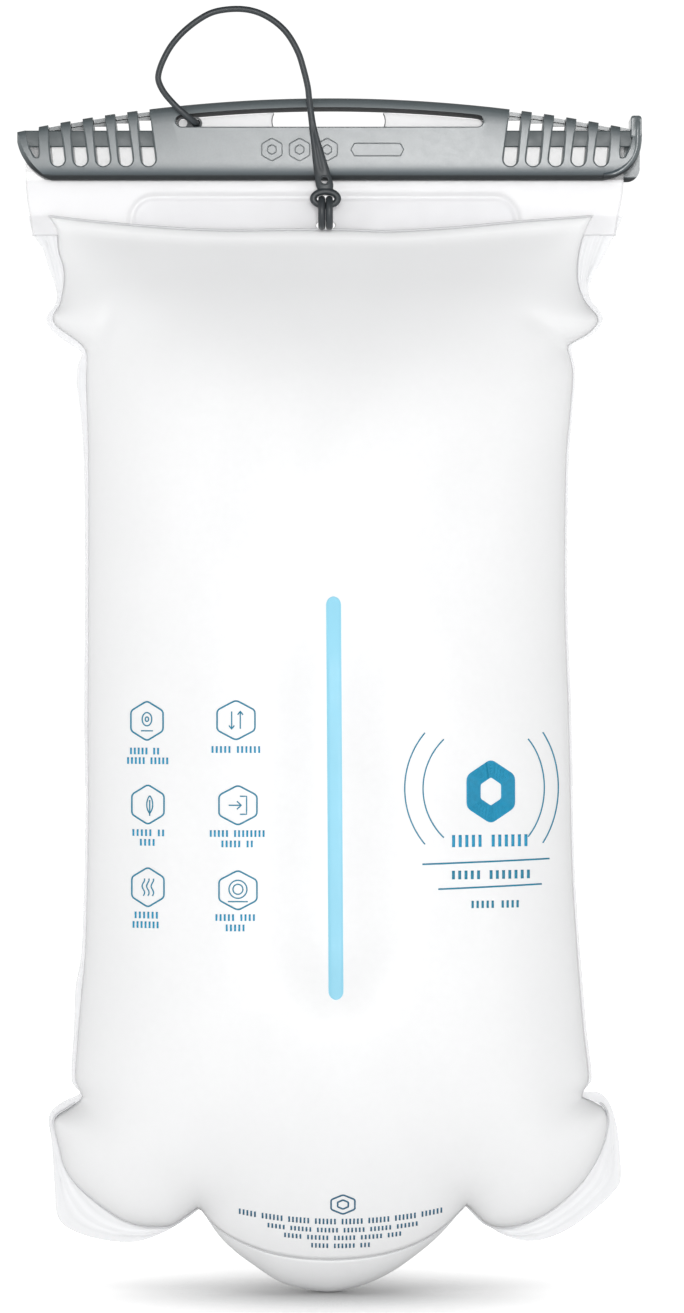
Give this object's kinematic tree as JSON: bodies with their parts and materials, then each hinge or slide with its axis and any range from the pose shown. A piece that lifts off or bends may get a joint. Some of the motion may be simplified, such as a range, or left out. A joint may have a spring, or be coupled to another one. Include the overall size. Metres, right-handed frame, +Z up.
{
  "type": "hydration bladder",
  "caption": "Full soft water reservoir of frosted film, hung by the arched handle of its slide clip, with a tether, a press-together baffle and a valved hose port.",
  "frame": {"origin": "underside of the handle arch, at the middle of the clip, where a hook or strap carries the full bladder", "axes": "+Z up, +X to the right seen from the front, -Y out of the front face; the hose port faces +Y"},
  "size_m": [0.19, 0.0692, 0.3923],
  "materials": {
    "clip_plastic": "satin moulded grey",
    "dark_plastic": "satin dark grey",
    "elastomer": "satin dark grey elastomer",
    "clear_film": "clear soft film",
    "stiff_film": "clear stiff sheet",
    "frosted_film": "frosted soft film",
    "blue_rail": "light cyan soft plastic",
    "port_plastic": "satin grey",
    "white_plastic": "milky weld flange",
    "spring_steel": "drawn stainless wire and strip"
  },
  "bodies": {
    "clip": {"slide_clip": "clip_plastic", "tether_link": "elastomer", "tether_bead": "elastomer", "tether_cord": "elastomer"},
    "bladder": {"mouth_rail": "dark_plastic", "front_skirt": "clear_film", "back_skirt": "clear_film", "hang_tab": "clear_film", "skirt_stiffener": "stiff_film", "front_panel": "frosted_film", "back_panel": "frosted_film", "gusset_panel": "frosted_film", "baffle_rail_front": "blue_rail", "baffle_rail_back": "blue_rail", "port_flange": "white_plastic", "port_housing": "port_plastic", "button_spring": "spring_steel", "plug_seal": "elastomer", "valve_cage": "port_plastic", "valve_spring": "spring_steel", "tether_strap": "elastomer", "tether_ring": "elastomer", "tether_loop": "elastomer"},
    "release": {"release_button": "dark_plastic", "latch_ring": "spring_steel"},
    "valve": {"valve_poppet": "dark_plastic", "poppet_seal": "elastomer"}
  },
  "joints": [
    {"name": "clip_slide", "type": "slide", "parent": "clip", "child": "bladder", "axis": [-1, 0, 0], "range_m": [0, 0.165], "deforming": ["tether_cord", "hang_tab"]},
    {"name": "release_press", "type": "slide", "parent": "bladder", "child": "release", "axis": [0, 0, -1], "range_m": [0, 0.0016], "stiffness_N_per_m": 1200, "springref_m": -0.001, "deforming": ["button_spring"]},
    {"name": "valve_push", "type": "slide", "parent": "bladder", "child": "valve", "axis": [0, -1, 0], "range_m": [0, 0.003], "stiffness_N_per_m": 700, "springref_m": -0.002, "deforming": ["valve_spring"]}
  ]
}
